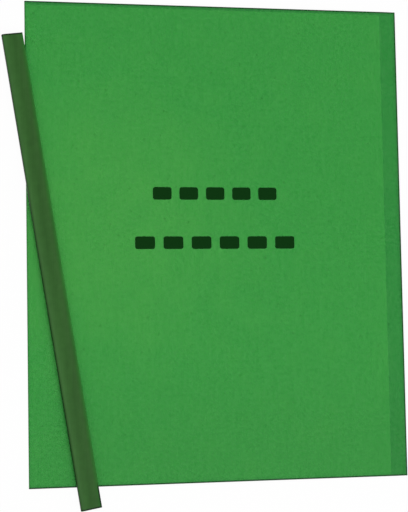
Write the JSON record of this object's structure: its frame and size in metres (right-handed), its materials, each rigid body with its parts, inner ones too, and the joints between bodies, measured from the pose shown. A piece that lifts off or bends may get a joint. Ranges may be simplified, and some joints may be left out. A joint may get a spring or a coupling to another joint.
{
  "type": "report cover with slide-on binding bar",
  "caption": "Letter-size report cover: one folded sheet of tinted film round loose pages, with a slide-on binding bar lying across the front beside the fold.",
  "frame": {"origin": "middle of the back leaf's outer face", "axes": "+X from the fold to the fore edge, +Y to the head of the page, +Z out through the front leaf"},
  "size_m": [0.2405, 0.2961, 0.0062],
  "materials": {
    "tinted_film": "calendered vinyl film, tinted green and slightly clouded, low gloss",
    "page_paper": "uncoated white copier paper",
    "bar_plastic": "extruded dark green vinyl, satin, with fine lengthwise die lines",
    "title_ink": "dark title print, read through the tinted film"
  },
  "bodies": {
    "root": {"film_cover": "tinted_film", "page_stack": "page_paper", "binding_bar": "bar_plastic"}
  },
  "joints": []
}
